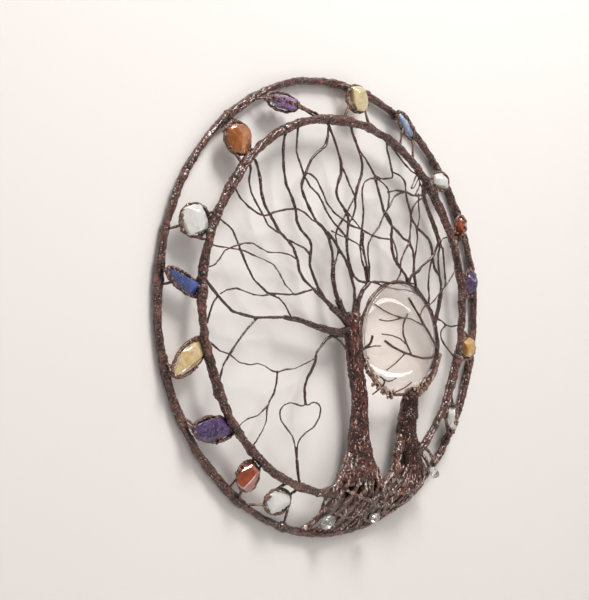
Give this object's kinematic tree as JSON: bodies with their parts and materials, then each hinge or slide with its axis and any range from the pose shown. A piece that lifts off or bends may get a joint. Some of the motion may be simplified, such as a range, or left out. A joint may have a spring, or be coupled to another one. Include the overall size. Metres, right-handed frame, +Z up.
{
  "type": "tree of life wall hanging",
  "caption": "Round wall hanging of two clay covered wire hoops holding two clay trees, a domed glass moon and a ring of tumbled stones.",
  "frame": {"origin": "where the nail holds the outer hoop, at the underside of the top of its clay", "axes": "+Z up, -Y towards the viewer, +Y towards the wall, +X to the viewer's right"},
  "size_m": [0.3008, 0.0262, 0.2996],
  "materials": {
    "armature_steel": "galvanised wire inside the clay",
    "bark_clay": "dark brown clay, varnished, with bronze flecks",
    "root_clay": "brown clay with pink and copper highlights, varnished",
    "cup_clay": "thin clay over wire, varnished",
    "beaded_clay": "golden beaded clay",
    "moon_glass": "clear polished dome",
    "citrine": "tumbled, pale yellow",
    "amethyst": "tumbled, purple",
    "carnelian": "tumbled, orange red",
    "kyanite": "fibrous blue blade",
    "clear_quartz": "tumbled, colourless",
    "pale_blade": "pale blue blade"
  },
  "bodies": {
    "root": {"crown_limbs": "bark_clay", "cup_amethyst_east": "cup_clay", "cup_amethyst_northwest": "cup_clay", "cup_amethyst_southwest": "cup_clay", "cup_blade_northeast": "cup_clay", "cup_carnelian_east": "cup_clay", "cup_carnelian_northwest": "cup_clay", "cup_carnelian_south": "cup_clay", "cup_citrine_east": "cup_clay", "cup_citrine_top": "cup_clay", "cup_citrine_west": "cup_clay", "cup_kyanite_west": "cup_clay", "cup_quartz_northeast": "cup_clay", "cup_quartz_south": "cup_clay", "cup_quartz_southeast": "cup_clay", "cup_quartz_west": "cup_clay", "east_limbs": "bark_clay", "heart_wire": "bark_clay", "inner_hoop_clay": "bark_clay", "inner_hoop_vine": "bark_clay", "inner_hoop_wire": "armature_steel", "left_roots": "root_clay", "left_trunk_armature": "armature_steel", "left_trunk_clay": "bark_clay", "middle_limbs": "bark_clay", "moon_claws": "bark_clay", "moon_glass": "moon_glass", "moon_rim_beads": "beaded_clay", "moon_rim_wire": "bark_clay", "moon_side_bough": "bark_clay", "moon_top_wires": "bark_clay", "north_bough": "bark_clay", "northeast_limbs": "bark_clay", "northwest_bough": "bark_clay", "outer_hoop_clay": "bark_clay", "outer_hoop_vine": "bark_clay", "outer_hoop_wire": "armature_steel", "right_roots": "root_clay", "right_trunk_armature": "armature_steel", "right_trunk_clay": "bark_clay", "southwest_limbs": "bark_clay", "stone_amethyst_east": "amethyst", "stone_amethyst_northwest": "amethyst", "stone_amethyst_southwest": "amethyst", "stone_blade_northeast": "pale_blade", "stone_carnelian_east": "carnelian", "stone_carnelian_northwest": "carnelian", "stone_carnelian_south": "carnelian", "stone_citrine_east": "citrine", "stone_citrine_top": "citrine", "stone_citrine_west": "citrine", "stone_kyanite_west": "kyanite", "stone_quartz_northeast": "clear_quartz", "stone_quartz_south": "clear_quartz", "stone_quartz_southeast": "clear_quartz", "stone_quartz_west": "clear_quartz", "stone_root_chips": "clear_quartz", "west_bough": "bark_clay", "west_sprigs": "bark_clay"}
  },
  "joints": []
}
